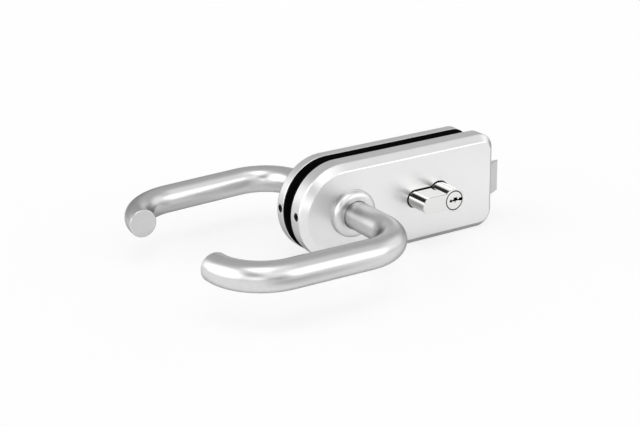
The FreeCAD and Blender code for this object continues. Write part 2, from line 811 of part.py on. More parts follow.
for side, end, outward in (("front", cylinder_front, -1), ("rear", cylinder_rear, 1)):
    plug = shaped_plug(end, outward)
    cam_edge = cam_gap_front if outward < 0 else cam_gap_back
    pin_corner_depth = plug_radius - math.sqrt(plug_radius**2 - pin_radius**2)
    key_pins = []
    driver_pins = []
    springs = []
    for row in pin_rows(cam_edge, outward):
        chamber = rod_x(chamber_radius, row, cylinder_z, stack_left, cylinder_x)
        cylinder_body = cylinder_body.cut(chamber)
        plug = plug.cut(chamber)
        shear = cylinder_x - plug_radius
        key_pin_start = shear + pin_corner_depth + pin_gap
        key_pins.append(rod_x(pin_radius, row, cylinder_z, key_pin_start, key_pin_start + key_pin_length))
        driver_stop = shear - running_gap - pin_gap
        driver_start = driver_stop - pin_length
        driver_pins.append(rod_x(pin_radius, row, cylinder_z, driver_start, driver_stop))
        springs.append(
            spring_along(
                along_x,
                point(stack_left + pin_gap, row, cylinder_z),
                pin_spring_radius,
                pin_spring_wire,
                pin_spring_turns,
                driver_start - stack_left - 2 * pin_gap,
            )
        )
    clip_start = cam_edge - outward * running_gap
    clip_stop = clip_start - outward * plug_clip_thickness
    clip_low = min(clip_start, clip_stop)
    clip_high = max(clip_start, clip_stop)
    clip_radius = plug_tail_radius + plug_clip_width
    clip = rod_y(clip_radius, cylinder_x, cylinder_z, clip_low, clip_high)
    clip_bore = plug_tail_radius + press_gap
    clip_past = clip_high + cut_past
    clip = clip.cut(rod_y(clip_bore, cylinder_x, cylinder_z, clip_low - cut_past, clip_past))
    pieces[side + "_plug"] = plug
    pieces[side + "_plug_clip"] = clip
    pieces[side + "_key_pins"] = Part.makeCompound(key_pins)
    pieces[side + "_driver_pins"] = Part.makeCompound(driver_pins)
    pieces[side + "_pin_springs"] = Part.makeCompound(springs)
pieces["cylinder_body"] = cylinder_body

# Cylinder cam: a ring on the plugs' tails, its tooth below, leaning towards the latch
cam_low = cam_gap_front + plug_clip_thickness + 2 * running_gap + seat_gap / 2
cam_high = cam_gap_back - plug_clip_thickness - 2 * running_gap - seat_gap / 2
cam_ring = rod_y(cam_ring_radius, cylinder_x, cylinder_z, cam_low, cam_high)
neck_half = cam_tooth_neck_half_width
tooth_neck = block(0, cam_tooth_reach, cam_low, cam_high, -neck_half, neck_half)
tooth_tip = rod_y(cam_tooth_tip_radius, cam_tooth_reach, 0, cam_low, cam_high)
tooth = tooth_neck.fuse(tooth_tip)
tooth.rotate(point(0, 0, 0), along_y, 90 - key_turn / 2)
tooth.translate(point(cylinder_x, 0, cylinder_z))
cam_bore_radius = plug_tail_radius + running_gap
cam_past = cam_high + cut_past
cam_bore = rod_y(cam_bore_radius, cylinder_x, cylinder_z, cam_low - cut_past, cam_past)
pieces["cylinder_cam"] = joined(cam_ring, [tooth]).cut(cam_bore)

# Fixing screw of the cylinder, up through the case wall into the stem
screw_foot = -case_half_height - case_wall
shank = rod_z(cylinder_screw_radius, cylinder_screw_x, case_middle, screw_foot, cylinder_screw_top)
head_low = screw_foot - cylinder_screw_head_height
screw_head = rod_z(cylinder_screw_head_radius, cylinder_screw_x, case_middle, head_low, screw_foot)
slot_top = head_low + cylinder_screw_slot_depth
screw_slot = rod_z(hex_socket_width / 2, cylinder_screw_x, case_middle, head_low, slot_top)
pieces["cylinder_screw"] = joined(shank, [screw_head]).cut(screw_slot)

# Locking slide: a finger at the follower, a leg, and a bar under the cylinder with two lugs
slide_travel = 2 * cam_tooth_reach * math.sin(math.radians(key_turn / 2))
finger_tip_x = follower_hub_radius + slide_lock_gap + slide_travel
leg_left = finger_tip_x + slide_finger_length
leg_right = leg_left + slide_leg_width
bar_high = cylinder_z - cam_tooth_reach - cam_tooth_tip_radius - seat_gap
bar_low = bar_high - slide_bar_height
tooth_x = cylinder_x + slide_travel / 2
notch_half = cam_tooth_tip_radius + seat_gap
lug_high = cylinder_z - cam_tooth_reach * math.cos(math.radians(key_turn / 2)) + seat_gap
lug_right = tooth_x + notch_half + slide_lug_width
lug_left = tooth_x - notch_half - slide_lug_width
finger = block(
    finger_tip_x,
    leg_right,
    slide_front,
    slide_back,
    -slide_finger_half_height,
    slide_finger_half_height,
)
leg = block(leg_left, leg_right, slide_front, slide_back, bar_low, slide_finger_half_height)
bar = block(leg_left, lug_right, slide_front, slide_back, bar_low, bar_high)
left_lug = block(lug_left, tooth_x - notch_half, slide_front, slide_back, bar_low, lug_high)
right_lug = block(tooth_x + notch_half, lug_right, slide_front, slide_back, bar_low, lug_high)
slide = joined(finger, [leg, bar, left_lug, right_lug])
peg_z = (bar_low + bar_high) / 2
slot_half = slide_peg_radius + seat_gap
peg_left_x = leg_right - slide_peg_radius + seat_gap
peg_right_x = peg_left_x + slide_travel + 2 * slot_half + slide_slot_web
for peg_x in (peg_left_x, peg_right_x):
    slot_front = slide_front - cut_past
    slot_back = slide_back + cut_past
    slot = block(peg_x, peg_x + slide_travel, slot_front, slot_back, peg_z - slot_half, peg_z + slot_half)
    slot = slot.fuse(rod_y(slot_half, peg_x, peg_z, slot_front, slot_back))
    slot = slot.fuse(rod_y(slot_half, peg_x + slide_travel, peg_z, slot_front, slot_back))
    slide = slide.cut(slot)
pieces["locking_slide"] = slide

# Lock case: floor, wall, posts, pegs and stops
case = plate(cover_wall + seat_gap, front_right_x, case_floor, front_rim)
case_wall_ring = plate(case_wall_inset, front_right_x, lid_back, case_floor)
case_inside = plate(case_inside_inset, front_right_x, lid_back - cut_past, case_floor)
case = joined(case, [case_wall_ring.cut(case_inside)])
lug_back = case_floor
lug_front = front_screw_y - cover_screw_radius - screw_lug_wall
front_tongues = tongues(front_right_x, case_floor, front_rim, 0)
case = joined(case, [screw_lug(front_screw_y, lug_front, lug_back), *front_tongues])
thread_radius = cover_screw_radius + press_gap
case = case.cut(rod_x(thread_radius, front_screw_y, cover_screw_height, left_x, round_x))
post_height = case_half_height - lid_post_from_wall
low_post_height = case_half_height - low_lid_post_from_wall
lid_posts = [
    (round_x - lid_post_from_round_centre, -lid_post_below_axis),
    (clamp_ring + lid_post_radius, post_height),
    (follower_hub_radius, -post_height),
    (latch_rear_x - latch_travel + lid_post_radius, -low_post_height),
    (latch_rear_x - latch_travel, post_height),
]
works = []
screws = []
for x, z in lid_posts:
    works.append(rod_y(lid_post_radius, x, z, lid_back, case_floor))
stop_offset = lock_arm_tip_radius + seat_gap + stop_post_radius
for way in (-1, 1):
    # a stop below the lock arm at rest and one above it at the end of the lever's turn
    stop_x = lock_arm_reach * math.cos(half_turn) - stop_offset * math.sin(half_turn)
    stop_z = lock_arm_reach * math.sin(half_turn) + stop_offset * math.cos(half_turn)
    works.append(rod_y(stop_post_radius, stop_x, way * stop_z, works_front, case_floor))
for peg_x in (peg_left_x, peg_right_x):
    works.append(rod_y(slide_peg_radius, peg_x, peg_z, slide_front, case_floor))
    works.append(rod_y(slide_shoulder_radius, peg_x, peg_z, works_front, case_floor))
spring_peg_radius = return_spring_radius - return_spring_wire - seat_gap
peg_top = return_spring_low + return_spring_peg_length
works.append(rod_z(spring_peg_radius, spring_arm_x, return_spring_y, return_spring_low - cut_past, peg_top))
seat_half = return_spring_half + seat_gap
spring_seat = block(
    spring_arm_x - seat_half,
    spring_arm_x + seat_half,
    works_front,
    case_floor,
    -case_half_height,
    return_spring_low,
)
works.append(spring_seat.common(plate(case_wall_inset, front_right_x, works_front, case_floor)))
stop_half = spring_bore_radius + spring_stop_margin
works.append(
    block(
        spring_stop_x,
        spring_stop_right,
        latch_front,
        case_floor,
        latch_centre_height - stop_half,
        latch_centre_height + stop_half,
    )
)
case = joined(case, works)
for x, z in lid_posts:
    hole_back = lid_back + lid_screw_length
    case = case.cut(rod_y(lid_screw_radius + press_gap, x, z, lid_back - cut_past, hole_back))
    shaft = rod_y(lid_screw_radius, x, z, lid_front, hole_back - lid_screw_end_gap)
    head = Part.makeCone(
        lid_screw_head_radius,
        lid_screw_radius,
        case_lid_thickness,
        point(x, lid_front, z),
        along_y,
    )
    drive = rod_y(lid_screw_radius / 2, x, z, lid_front - cut_past, lid_front + lid_screw_radius)
    screws.append(joined(shaft, [head]).cut(drive))
pieces["lid_screws"] = Part.makeCompound(screws)
journal_bore = follower_journal_radius + running_gap
case = case.cut(rod_y(journal_bore, 0, 0, case_floor - cut_past, front_rim + cut_past))
case = case.cut(cylinder_profile(cylinder_gap, case_floor - cut_past, front_rim + cut_past))
latch_exit = block(
    front_right_x - case_inside_inset - cut_past,
    front_right_x,
    latch_front - seat_gap,
    case_floor,
    latch_low - seat_gap,
    latch_high + seat_gap,
)
case = case.cut(latch_exit)
case = case.cut(screw_hole)
for x, z in clamp_points:
    sleeve_bore = clamp_sleeve_radius + press_gap
    case = case.cut(rod_y(sleeve_bore, x, z, case_floor - cut_past, front_rim + cut_past))
pieces["lock_case"] = case

# Lid of the case, bevelled to pass under the cover's chamfer
lid = plate(case_wall_inset, front_right_x, lid_front, lid_back)
lid = lid.makeChamfer(case_lid_thickness - lid_edge_land, edges_at(lid, lid_front))
lid = lid.cut(rod_y(journal_bore, 0, 0, lid_front - cut_past, lid_back + cut_past))
lid = lid.cut(cylinder_profile(cylinder_gap, lid_front - cut_past, lid_back + cut_past))
for x, z in lid_posts:
    countersink = Part.makeCone(
        lid_screw_head_radius + press_gap,
        lid_screw_radius + press_gap,
        case_lid_thickness,
        point(x, lid_front, z),
        along_y,
    )
    lid = lid.cut(countersink)
pieces["lock_case_lid"] = lid

# Rear base plate
rear_plate = plate(cover_wall + seat_gap, rear_right_x, rear_rim, rear_rim + rear_plate_thickness)
rear_lug = screw_lug(rear_screw_y, rear_rim, rear_screw_y + cover_screw_radius + screw_lug_wall)
rear_tongues = tongues(rear_right_x, rear_rim, rear_plate_top, 0)
rear_plate = joined(rear_plate, [rear_lug, *rear_tongues])
rear_plate = rear_plate.cut(rod_x(thread_radius, rear_screw_y, cover_screw_height, left_x, round_x))
before_plate = rear_rim - cut_past
past_plate = rear_plate_top + cut_past
rear_plate = rear_plate.cut(rod_y(follower_hub_radius, 0, 0, before_plate, past_plate))
rear_plate = rear_plate.cut(cylinder_profile(cylinder_gap, before_plate, past_plate))
for x, z in clamp_points:
    rear_plate = rear_plate.cut(rod_y(clamp_screw_radius + seat_gap, x, z, before_plate, past_plate))
pieces["rear_base_plate"] = rear_plate

# Clamp sleeves, fixed in the case floor, and the screws that draw the rear plate to them
sleeves = []
clamp_screws = []
for x, z in clamp_points:
    sleeve_end = rear_rim - seat_gap
    sleeve = rod_y(clamp_sleeve_radius, x, z, case_floor, sleeve_end)
    thread_radius = clamp_screw_radius + press_gap
    sleeves.append(sleeve.cut(rod_y(thread_radius, x, z, case_floor - cut_past, sleeve_end + cut_past)))
    shaft = rod_y(clamp_screw_radius, x, z, rear_plate_top - clamp_screw_length, rear_plate_top)
    head = rod_y(clamp_head_radius, x, z, rear_plate_top, rear_plate_top + clamp_head_height)
    socket_floor = rear_plate_top + clamp_socket_floor
    head_top = rear_plate_top + clamp_head_height
    socket = rod_y(hex_socket_width / 2, x, z, socket_floor, head_top + cut_past)
    clamp_screws.append(joined(shaft, [head]).cut(socket))
pieces["clamp_sleeves"] = Part.makeCompound(sleeves)
pieces["clamp_screws"] = Part.makeCompound(clamp_screws)

os.makedirs("parts", exist_ok=True)
for name, shape in pieces.items():
    if not shape.isValid():
        print("not valid:", name)
    shape.exportStep("parts/" + name + ".step")
    size = shape.BoundBox
    lengths = [round(value, 1) for value in (size.XLength, size.YLength, size.ZLength)]
    print(name, len(shape.Solids), round(shape.Volume, 1), lengths)
print("latch travel per lever radian", latch_travel / math.radians(lever_turn))
print("slide travel", slide_travel, "per key radian", slide_travel / math.radians(key_turn))
print("return spring foot", return_spring_low, "latch spring foot", spring_stop_right)
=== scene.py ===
import math
import bpy
from mathutils import Matrix, Vector


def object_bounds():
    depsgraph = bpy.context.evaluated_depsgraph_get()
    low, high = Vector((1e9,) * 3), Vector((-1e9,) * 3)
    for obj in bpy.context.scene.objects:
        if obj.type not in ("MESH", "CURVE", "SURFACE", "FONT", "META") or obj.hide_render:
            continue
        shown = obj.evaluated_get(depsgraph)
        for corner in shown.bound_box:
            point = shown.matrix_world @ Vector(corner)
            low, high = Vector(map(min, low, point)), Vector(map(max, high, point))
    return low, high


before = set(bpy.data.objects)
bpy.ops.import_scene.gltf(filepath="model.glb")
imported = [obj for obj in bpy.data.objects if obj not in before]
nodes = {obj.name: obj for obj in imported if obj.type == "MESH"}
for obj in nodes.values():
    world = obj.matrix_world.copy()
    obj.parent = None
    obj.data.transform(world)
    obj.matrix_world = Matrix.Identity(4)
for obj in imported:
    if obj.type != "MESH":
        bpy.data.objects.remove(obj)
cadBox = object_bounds()
print("frame loaded:", len(nodes), "nodes")

# The camera of the photograph, found by fitting the lock's outlines
cameraView = {
    "azimuth": -0.538,
    "elevation": 0.361,
    "roll": -0.024,
    "distance": 0.87458,
    "target": (-0.029792, -0.021, 0.000889),
    "focalPixels": 1310.36,
    "centrePixels": (315.013, 220.545),
    "imagePixels": (640, 427),
    "sensorWidth": 36.0,
    "clip": (0.01, 50),
}


def makeCamera(v):
    azimuth, elevation, roll = v["azimuth"], v["elevation"], v["roll"]
    back = Vector((
        math.sin(azimuth) * math.cos(elevation),
        -math.cos(azimuth) * math.cos(elevation),
        math.sin(elevation),
    ))
    side = (-back).cross(Vector((0, 0, 1))).normalized()
    rise = side.cross(-back)
    right = side * math.cos(roll) + rise * math.sin(roll)
    up = rise * math.cos(roll) - side * math.sin(roll)
    width, height = v["imagePixels"]
    data = bpy.data.cameras.new("photoCamera")
    data.sensor_fit = "HORIZONTAL"
    data.sensor_width = v["sensorWidth"]
    data.lens = v["focalPixels"] / width * v["sensorWidth"]
    data.shift_x = (width / 2 - v["centrePixels"][0]) / width
    data.shift_y = (v["centrePixels"][1] - height / 2) / width
    data.clip_start, data.clip_end = v["clip"]
    camera = bpy.data.objects.new("photoCamera", data)
    camera.matrix_world = Matrix.Translation(Vector(v["target"]) + back * v["distance"]) @ Matrix((
        (right.x, up.x, back.x),
        (right.y, up.y, back.y),
        (right.z, up.z, back.z),
    )).to_4x4()
    bpy.context.scene.collection.objects.link(camera)
    bpy.context.scene.camera = camera


makeCamera(cameraView)
bpy.context.scene.view_settings.view_transform = "Standard"
print("camera placed")


# Small helpers for node trees
def addNode(tree, kind, inputs=None, **settings):
    node = tree.nodes.new(kind)
    for name, value in settings.items():
        setattr(node, name, value)
    for name, value in (inputs or {}).items():
        if isinstance(value, bpy.types.NodeSocket):
            tree.links.new(value, node.inputs[name])
        else:
            node.inputs[name].default_value = value
    return node


def doMath(tree, operation, first, second=None):
    node = addNode(tree, "ShaderNodeMath", operation=operation)
    for index, value in enumerate((first, second)):
        if value is None:
            continue
        if isinstance(value, bpy.types.NodeSocket):
            tree.links.new(value, node.inputs[index])
        else:
            node.inputs[index].default_value = value
    return node.outputs[0]


# Studio: a pale floor under a soft grey sky with a few bright patches, as large softboxes give
# azimuth is measured from behind the lock (+Y) towards the latch (+X), in degrees
# reach is where a patch starts to fade and where it ends: an angle in the sky, metres on the floor
studio = {
    "brightness": 1.21,
    "skyLevel": 0.40,
    "patches": (
        {"azimuth": 280, "elevation": 18, "reach": (18, 46), "strength": 1.35},
        {"azimuth": 225, "elevation": 74, "reach": (9, 20), "strength": 1.2},
        {"azimuth": 146, "elevation": 20, "reach": (10, 26), "strength": 1.35},
        {"azimuth": 162, "elevation": 41, "reach": (8, 20), "strength": 0.45},
        {"azimuth": 222, "elevation": 8, "reach": (8, 20), "strength": 0.9},
        {"azimuth": 192, "elevation": 30, "reach": (9, 20), "strength": 0.5},
        {"azimuth": 208, "elevation": 54, "reach": (8, 18), "strength": 0.55},
        {"azimuth": 100, "elevation": 20, "reach": (14, 34), "strength": 0.5},
        {"azimuth": 320, "elevation": 20, "reach": (9, 22), "strength": 0.3},
        {"azimuth": 135, "elevation": 70, "reach": (9, 22), "strength": 0.45},
        {"azimuth": 40, "elevation": 6, "reach": (9, 22), "strength": 0.47},
    ),
    # the darker room beside and behind the camera
    "shades": (
        {"azimuth": 226, "elevation": 31, "reach": (7, 14), "strength": 0.5},
        {"azimuth": 241, "elevation": 40, "reach": (7, 14), "strength": 0.4},
        {"azimuth": 188, "elevation": 2, "reach": (4, 9), "strength": 0.8},
    ),
    # more of the room, as the cover's face throws it onto the bright cylinder
    "mirroredShades": (
        {"azimuth": 195, "elevation": 20, "reach": (13, 19), "strength": 0.97},
        {"azimuth": 197, "elevation": 34, "reach": (15, 20), "strength": 0.97},
        {"azimuth": 149, "elevation": 21, "reach": (8, 14), "strength": 0.5},
    ),
    "floorSize": 9.0,
    "floorWhite": 0.97,
    # the floor as the metal sees it, with painted shade: darker far out and in a few places near the
    # lock
    "sweepReach": (0.3, 0.5),
    "sweepFar": 0.4,
    "floorShades": (
        {"middle": (-0.1, 0.06), "reach": (0.03, 0.09), "share": 0.3},
        {"middle": (-0.07, -0.2), "reach": (0.04, 0.1), "share": 0.5},
    ),
    # and painted shade once more in the image of it that the cover throws onto the cylinder
    "mirroredFloorShades": (
        {"middle": (0.03, -0.12), "reach": (0.05, 0.1), "share": 0.5},
    ),
    # the camera sees the floor glow, with a share of its real shadows left
    "floorGlow": 1.0,
    "floorGlowShare": 0.72,
}


def softStep(tree, value, reach, top):
    # rises smoothly from nothing to top while the value goes through the reach
    span = {"Value": value, "From Min": reach[0], "From Max": reach[1], "To Max": top}
    return addNode(tree, "ShaderNodeMapRange", span, interpolation_type="SMOOTHSTEP").outputs[0]


def skyPatch(tree, direction, v):
    azimuth, elevation = math.radians(v["azimuth"]), math.radians(v["elevation"])
    inner, outer = (math.cos(math.radians(angle)) for angle in v["reach"])
    middle = (
        math.sin(azimuth) * math.cos(elevation),
        math.cos(azimuth) * math.cos(elevation),
        math.sin(elevation),
    )
    nearness = addNode(tree, "ShaderNodeVectorMath", operation="DOT_PRODUCT")
    tree.links.new(direction, nearness.inputs[0])
    nearness.inputs[1].default_value = middle
    return softStep(tree, nearness.outputs["Value"], (outer, inner), v["strength"])


def seenTwice(tree):
    # one where a glossy surface mirrors another one that mirrors this
    depth = addNode(tree, "ShaderNodeLightPath").outputs["Glossy Depth"]
    return doMath(tree, "GREATER_THAN", depth, 1.5)


def dimmed(tree, level, share):
    return doMath(tree, "MULTIPLY", level, doMath(tree, "SUBTRACT", 1.0, share))


def makeSky(v):
    world = bpy.data.worlds.new("studioSky")
    bpy.context.scene.world = world
    world.use_nodes = True
    tree = world.node_tree
    tree.nodes.clear()
    direction = addNode(tree, "ShaderNodeTexCoord").outputs["Generated"]
    level = v["skyLevel"]
    for patch in v["patches"]:
        level = doMath(tree, "ADD", skyPatch(tree, direction, patch), level)
    for patch in v["shades"]:
        level = dimmed(tree, level, skyPatch(tree, direction, patch))
    mirrored = seenTwice(tree)
    for patch in v["mirroredShades"]:
        share = doMath(tree, "MULTIPLY", skyPatch(tree, direction, patch), mirrored)
        level = dimmed(tree, level, share)
    # the camera sees the same white above the floor as on it
    seen = addNode(tree, "ShaderNodeLightPath").outputs["Is Camera Ray"]
    level = doMath(tree, "MAXIMUM", level, seen)
    sky = addNode(tree, "ShaderNodeBackground", {"Color": level, "Strength": v["brightness"]})
    output = addNode(tree, "ShaderNodeOutputWorld")
    tree.links.new(sky.outputs[0], output.inputs["Surface"])


def distanceFrom(tree, middle):
    apart = addNode(tree, "ShaderNodeVectorMath", operation="DISTANCE")
    tree.links.new(addNode(tree, "ShaderNodeTexCoord").outputs["Object"], apart.inputs[0])
    apart.inputs[1].default_value = middle
    return apart.outputs["Value"]


def floorShade(tree, v):
    # painted shade: a dark share of the floor round a middle, which fades out over the reach
    distance = distanceFrom(tree, (*v["middle"], cadBox[0].z))
    return doMath(tree, "SUBTRACT", v["share"], softStep(tree, distance, v["reach"], v["share"]))


def makeFloor(v):
    # the camera sees a glowing white sweep with faint shadows; the metal sees a pale floor with painted
    # shade
    half = v["floorSize"] / 2
    level = cadBox[0].z
    mesh = bpy.data.meshes.new("studioFloor")
    corners = [(-half, -half, level), (half, -half, level), (half, half, level), (-half, half, level)]
    mesh.from_pydata(corners, [], [(0, 1, 2, 3)])
    floor = bpy.data.objects.new("studioFloor", mesh)
    bpy.context.scene.collection.objects.link(floor)
    material = bpy.data.materials.new("paleFloor")
    material.use_nodes = True
    tree = material.node_tree
    tree.nodes.clear()
    seen = addNode(tree, "ShaderNodeLightPath").outputs["Is Camera Ray"]
    far = softStep(tree, distanceFrom(tree, (0, 0, level)), v["sweepReach"], v["sweepFar"])
    lit = doMath(tree, "SUBTRACT", 1.0, far)
    for patch in v["floorShades"]:
        lit = dimmed(tree, lit, floorShade(tree, patch))
    mirrored = seenTwice(tree)
    for patch in v["mirroredFloorShades"]:
        lit = dimmed(tree, lit, doMath(tree, "MULTIPLY", floorShade(tree, patch), mirrored))
    white = doMath(tree, "MULTIPLY", doMath(tree, "MAXIMUM", lit, seen), v["floorWhite"])
    paint = addNode(tree, "ShaderNodeBsdfDiffuse", {"Color": white})
    glow = addNode(tree, "ShaderNodeEmission", {"Strength": v["floorGlow"]})
    share = doMath(tree, "MULTIPLY", seen, v["floorGlowShare"])
    blend = addNode(tree, "ShaderNodeMixShader", {"Fac": share})
    tree.links.new(paint.outputs[0], blend.inputs[1])
    tree.links.new(glow.outputs[0], blend.inputs[2])
    output = addNode(tree, "ShaderNodeOutputMaterial")
    tree.links.new(blend.outputs[0], output.inputs["Surface"])
    mesh.materials.append(material)


makeSky(studio)
makeFloor(studio)
print("studio ready")


# Shared effects, each one a shader group
effects = {
    "grainLayers": (("Grain", 3.0), ("Streak", 2.0), ("Wave", 1.0)),
    "cloudDetail": 5.0,
    "cloudRoughness": 0.55,
    "cloudSpan": (0.3, 0.7),
}


def newGroup(name, inputs, outputs):
    tree = bpy.data.node_groups.new(name, "ShaderNodeTree")
    for label, kind, value in inputs:
        socket = tree.interface.new_socket(name=label, in_out="INPUT", socket_type=kind)
        socket.default_value = value
    for label, kind in outputs:
        tree.interface.new_socket(name=label, in_out="OUTPUT", socket_type=kind)
    return tree, tree.nodes.new("NodeGroupInput"), tree.nodes.new("NodeGroupOutput")


def makeGrainGroup(v):
    # relief of worked metal: fine grain, drawn streaks a millimetre apart and broad slow waves
    tree, given, result = newGroup(
        "metalGrain",
        [
            ("Stretch", "NodeSocketVector", (1, 1, 1)),
            ("Grain Scale", "NodeSocketFloat", 3000.0),
            ("Grain Depth", "NodeSocketFloat", 0.000002),
            ("Streak Scale", "NodeSocketFloat", 800.0),
            ("Streak Depth", "NodeSocketFloat", 0.0),
            ("Wave Scale", "NodeSocketFloat", 40.0),
            ("Wave Depth", "NodeSocketFloat", 0.0),
        ],
        [("Height", "NodeSocketFloat"), ("Streaks", "NodeSocketFloat")],
    )
    place = addNode(tree, "ShaderNodeTexCoord").outputs["Object"]
    stretched = addNode(tree, "ShaderNodeVectorMath", operation="MULTIPLY")
    tree.links.new(place, stretched.inputs[0])
    tree.links.new(given.outputs["Stretch"], stretched.inputs[1])
    height = 0.0
    for label, detail in v["grainLayers"]:
        vector = place if label == "Wave" else stretched.outputs[0]
        noise = addNode(
            tree,
            "ShaderNodeTexNoise",
            {"Vector": vector, "Scale": given.outputs[label + " Scale"], "Detail": detail},
        )
        raised = doMath(tree, "MULTIPLY", noise.outputs[0], given.outputs[label + " Depth"])
        height = doMath(tree, "ADD", raised, height)
        if label == "Streak":
            tree.links.new(noise.outputs[0], result.inputs["Streaks"])
    tree.links.new(height, result.inputs["Height"])
    return tree


def makeHandlingGroup(v):
    # faint cloudy marks of handling and polishing, which change colour and gloss a little
    tree, given, result = newGroup(
        "handlingMarks",
        [
            ("Scale", "NodeSocketFloat", 60.0),
            ("Low", "NodeSocketFloat", 0.0),
            ("High", "NodeSocketFloat", 1.0),
        ],
        [("Value", "NodeSocketFloat")],
    )
    place = addNode(tree, "ShaderNodeTexCoord").outputs["Object"]
    cloud = addNode(
        tree,
        "ShaderNodeTexNoise",
        {
            "Vector": place,
            "Scale": given.outputs["Scale"],
            "Detail": v["cloudDetail"],
            "Roughness": v["cloudRoughness"],
        },
    )
    span = addNode(
        tree,
        "ShaderNodeMapRange",
        {
            "Value": cloud.outputs[0],
            "From Min": v["cloudSpan"][0],
            "From Max": v["cloudSpan"][1],
            "To Min": given.outputs["Low"],
            "To Max": given.outputs["High"],
        },
    )
    tree.links.new(span.outputs[0], result.inputs["Value"])
    return tree


def makeRecessGroup():
    # painted shade for the unlit insides: a box given by its middle and half size, and a ring about an
    # axis along Y
    tree, given, result = newGroup(
        "recessShade",
        [
            ("Box Middle", "NodeSocketVector", (0, 0, 0)),
            ("Box Half", "NodeSocketVector", (0, 0, 0)),
            ("Axis Point", "NodeSocketVector", (0, 0, 0)),
            ("Ring From", "NodeSocketFloat", 0.0),
            ("Ring To", "NodeSocketFloat", 0.0),
        ],
        [("Shade", "NodeSocketFloat")],
    )
    place = addNode(tree, "ShaderNodeTexCoord").outputs["Object"]

    def fromPoint(label):
        apart = addNode(tree, "ShaderNodeVectorMath", operation="SUBTRACT")
        tree.links.new(place, apart.inputs[0])
        tree.links.new(given.outputs[label], apart.inputs[1])
        return addNode(tree, "ShaderNodeSeparateXYZ", {"Vector": apart.outputs[0]}).outputs

    apart = fromPoint("Box Middle")
    half = addNode(tree, "ShaderNodeSeparateXYZ", {"Vector": given.outputs["Box Half"]}).outputs
    box = 1.0
    for axis in "XYZ":
        near = doMath(tree, "LESS_THAN", doMath(tree, "ABSOLUTE", apart[axis]), half[axis])
        box = doMath(tree, "MULTIPLY", near, box)
    apart = fromPoint("Axis Point")
    squares = [doMath(tree, "MULTIPLY", apart[axis], apart[axis]) for axis in "XZ"]
    radius = doMath(tree, "SQRT", doMath(tree, "ADD", *squares))
    outside = doMath(tree, "GREATER_THAN", radius, given.outputs["Ring From"])
    inside = doMath(tree, "LESS_THAN", radius, given.outputs["Ring To"])
    ring = doMath(tree, "MULTIPLY", outside, inside)
    tree.links.new(doMath(tree, "MAXIMUM", box, ring), result.inputs["Shade"])
    return tree


grainGroup = makeGrainGroup(effects)
handlingGroup = makeHandlingGroup(effects)
recessGroup = makeRecessGroup()


def nodeBox(name):
    corners = [nodes[name].matrix_world @ Vector(corner) for corner in nodes[name].bound_box]
    low = Vector([min(corner[axis] for corner in corners) for axis in range(3)])
    high = Vector([max(corner[axis] for corner in corners) for axis in range(3)])
    return low, high


# The places with painted shade: the cylinder's window and the screw's hole in each cover, the
# keyway and the line round each plug, in metres
paintedShadePlaces = {
    "windowMargin": 0.003,
    "behindFace": 0.0003,
    "behindMouth": 0.0004,
    "holeMargin": 0.0005,
    "keywayBehind": 0.00012,
    "keywayRise": 0.0005,
    "keywayHalfHeight": 0.0015,
    "ringHalf": 0.0004,
    "colour": (0.012, 0.012, 0.012, 1),
}
cylinderLow, cylinderHigh = nodeBox("cylinder_body")
cylinderMiddle = (cylinderLow + cylinderHigh) / 2
cylinderHalf = (cylinderHigh - cylinderLow) / 2
barrelRadius = cylinderHalf.z
plugAxis = Vector((cylinderHigh.x - barrelRadius, cylinderMiddle.y, cylinderMiddle.z))
plugRadius = nodeBox("front_plug")[1].z - plugAxis.z
# the keyway, the line round each plug and the body's bore round it get painted shade
keywayMiddle = plugAxis + Vector((0, 0, paintedShadePlaces["keywayRise"]))
keywayDepth = cylinderHalf.y - paintedShadePlaces["keywayBehind"]
keywayHalf = Vector((barrelRadius, keywayDepth, paintedShadePlaces["keywayHalfHeight"]))
plugRing = (plugAxis, plugRadius - paintedShadePlaces["ringHalf"], barrelRadius)
bodyRing = (plugAxis, 0.0, plugRadius + paintedShadePlaces["ringHalf"])


# painted shade inside the cover's window round the cylinder
def windowOf(name):
    low, high = nodeBox(name)
    middle = Vector((cylinderMiddle.x, (low.y + high.y) / 2, cylinderMiddle.z))
    margin = paintedShadePlaces["windowMargin"]
    depth = (high.y - low.y) / 2 - paintedShadePlaces["behindFace"]
    return {"box": (middle, Vector((cylinderHalf.x + margin, depth, cylinderHalf.z + margin)))}


def holeOf(name):
    # painted shade in the hole that the cover's grub screw sits in, from just inside its mouth
    coverLow = nodeBox(name)[0]
    low, high = nodeBox(name + "_screw")
    start = coverLow.x + paintedShadePlaces["behindMouth"]
    reach = (high.z - low.z) / 2 + paintedShadePlaces["holeMargin"]
    middle = Vector(((start + high.x) / 2, (low.y + high.y) / 2, (low.z + high.z) / 2))
    return {"box": (middle, Vector(((high.x - start) / 2, reach, reach)))}


# Every finish: tint, metal, gloss, the radius of its worn edges and, in metres, the depths of its
# relief, each with its scale before it
# tintDepth is how much darker the tint gets, cloudShare how much of that lies in clouds, not streaks
# the rim shade is painted shade, where the tint darkens towards the outline: from, to and how much
# edgeGloss is the share of roughness that worn edges lose where they turn by edgeBend
# mirroredGloss is the share that the cover loses where the cylinder mirrors it, which ends over
# mirroredReach from the cylinder's middle
satinSteel = {
    "colour": (0.90, 0.90, 0.90), "metallic": 1.0, "roughness": (0.33, 0.37), "edge": 0.0005,
    "stretch": (0.05, 1, 1), "grain": (3600, 0.0000015), "streak": (900, 0.0000008),
    "wave": (45, 0.00003),
    "mirroredGloss": 0.7, "mirroredReach": (0.045, 0.06), "rim": (0.5, 0.85, 0.65), "edgeGloss": 0.6,
}
plainFinish = {
    "stretch": (1, 1, 1), "grain": (1500, 0.00001), "streak": (800, 0.0), "wave": (40, 0.0),
    "specular": 0.5, "tintDepth": 0.035, "cloudShare": 0.5, "cloudScale": 25.0,
    "rimColour": (0.05, 0.05, 0.05, 1), "edgeBend": (0.002, 0.03), "edgeSamples": 4, "paintedShadeRecesses": (),
}
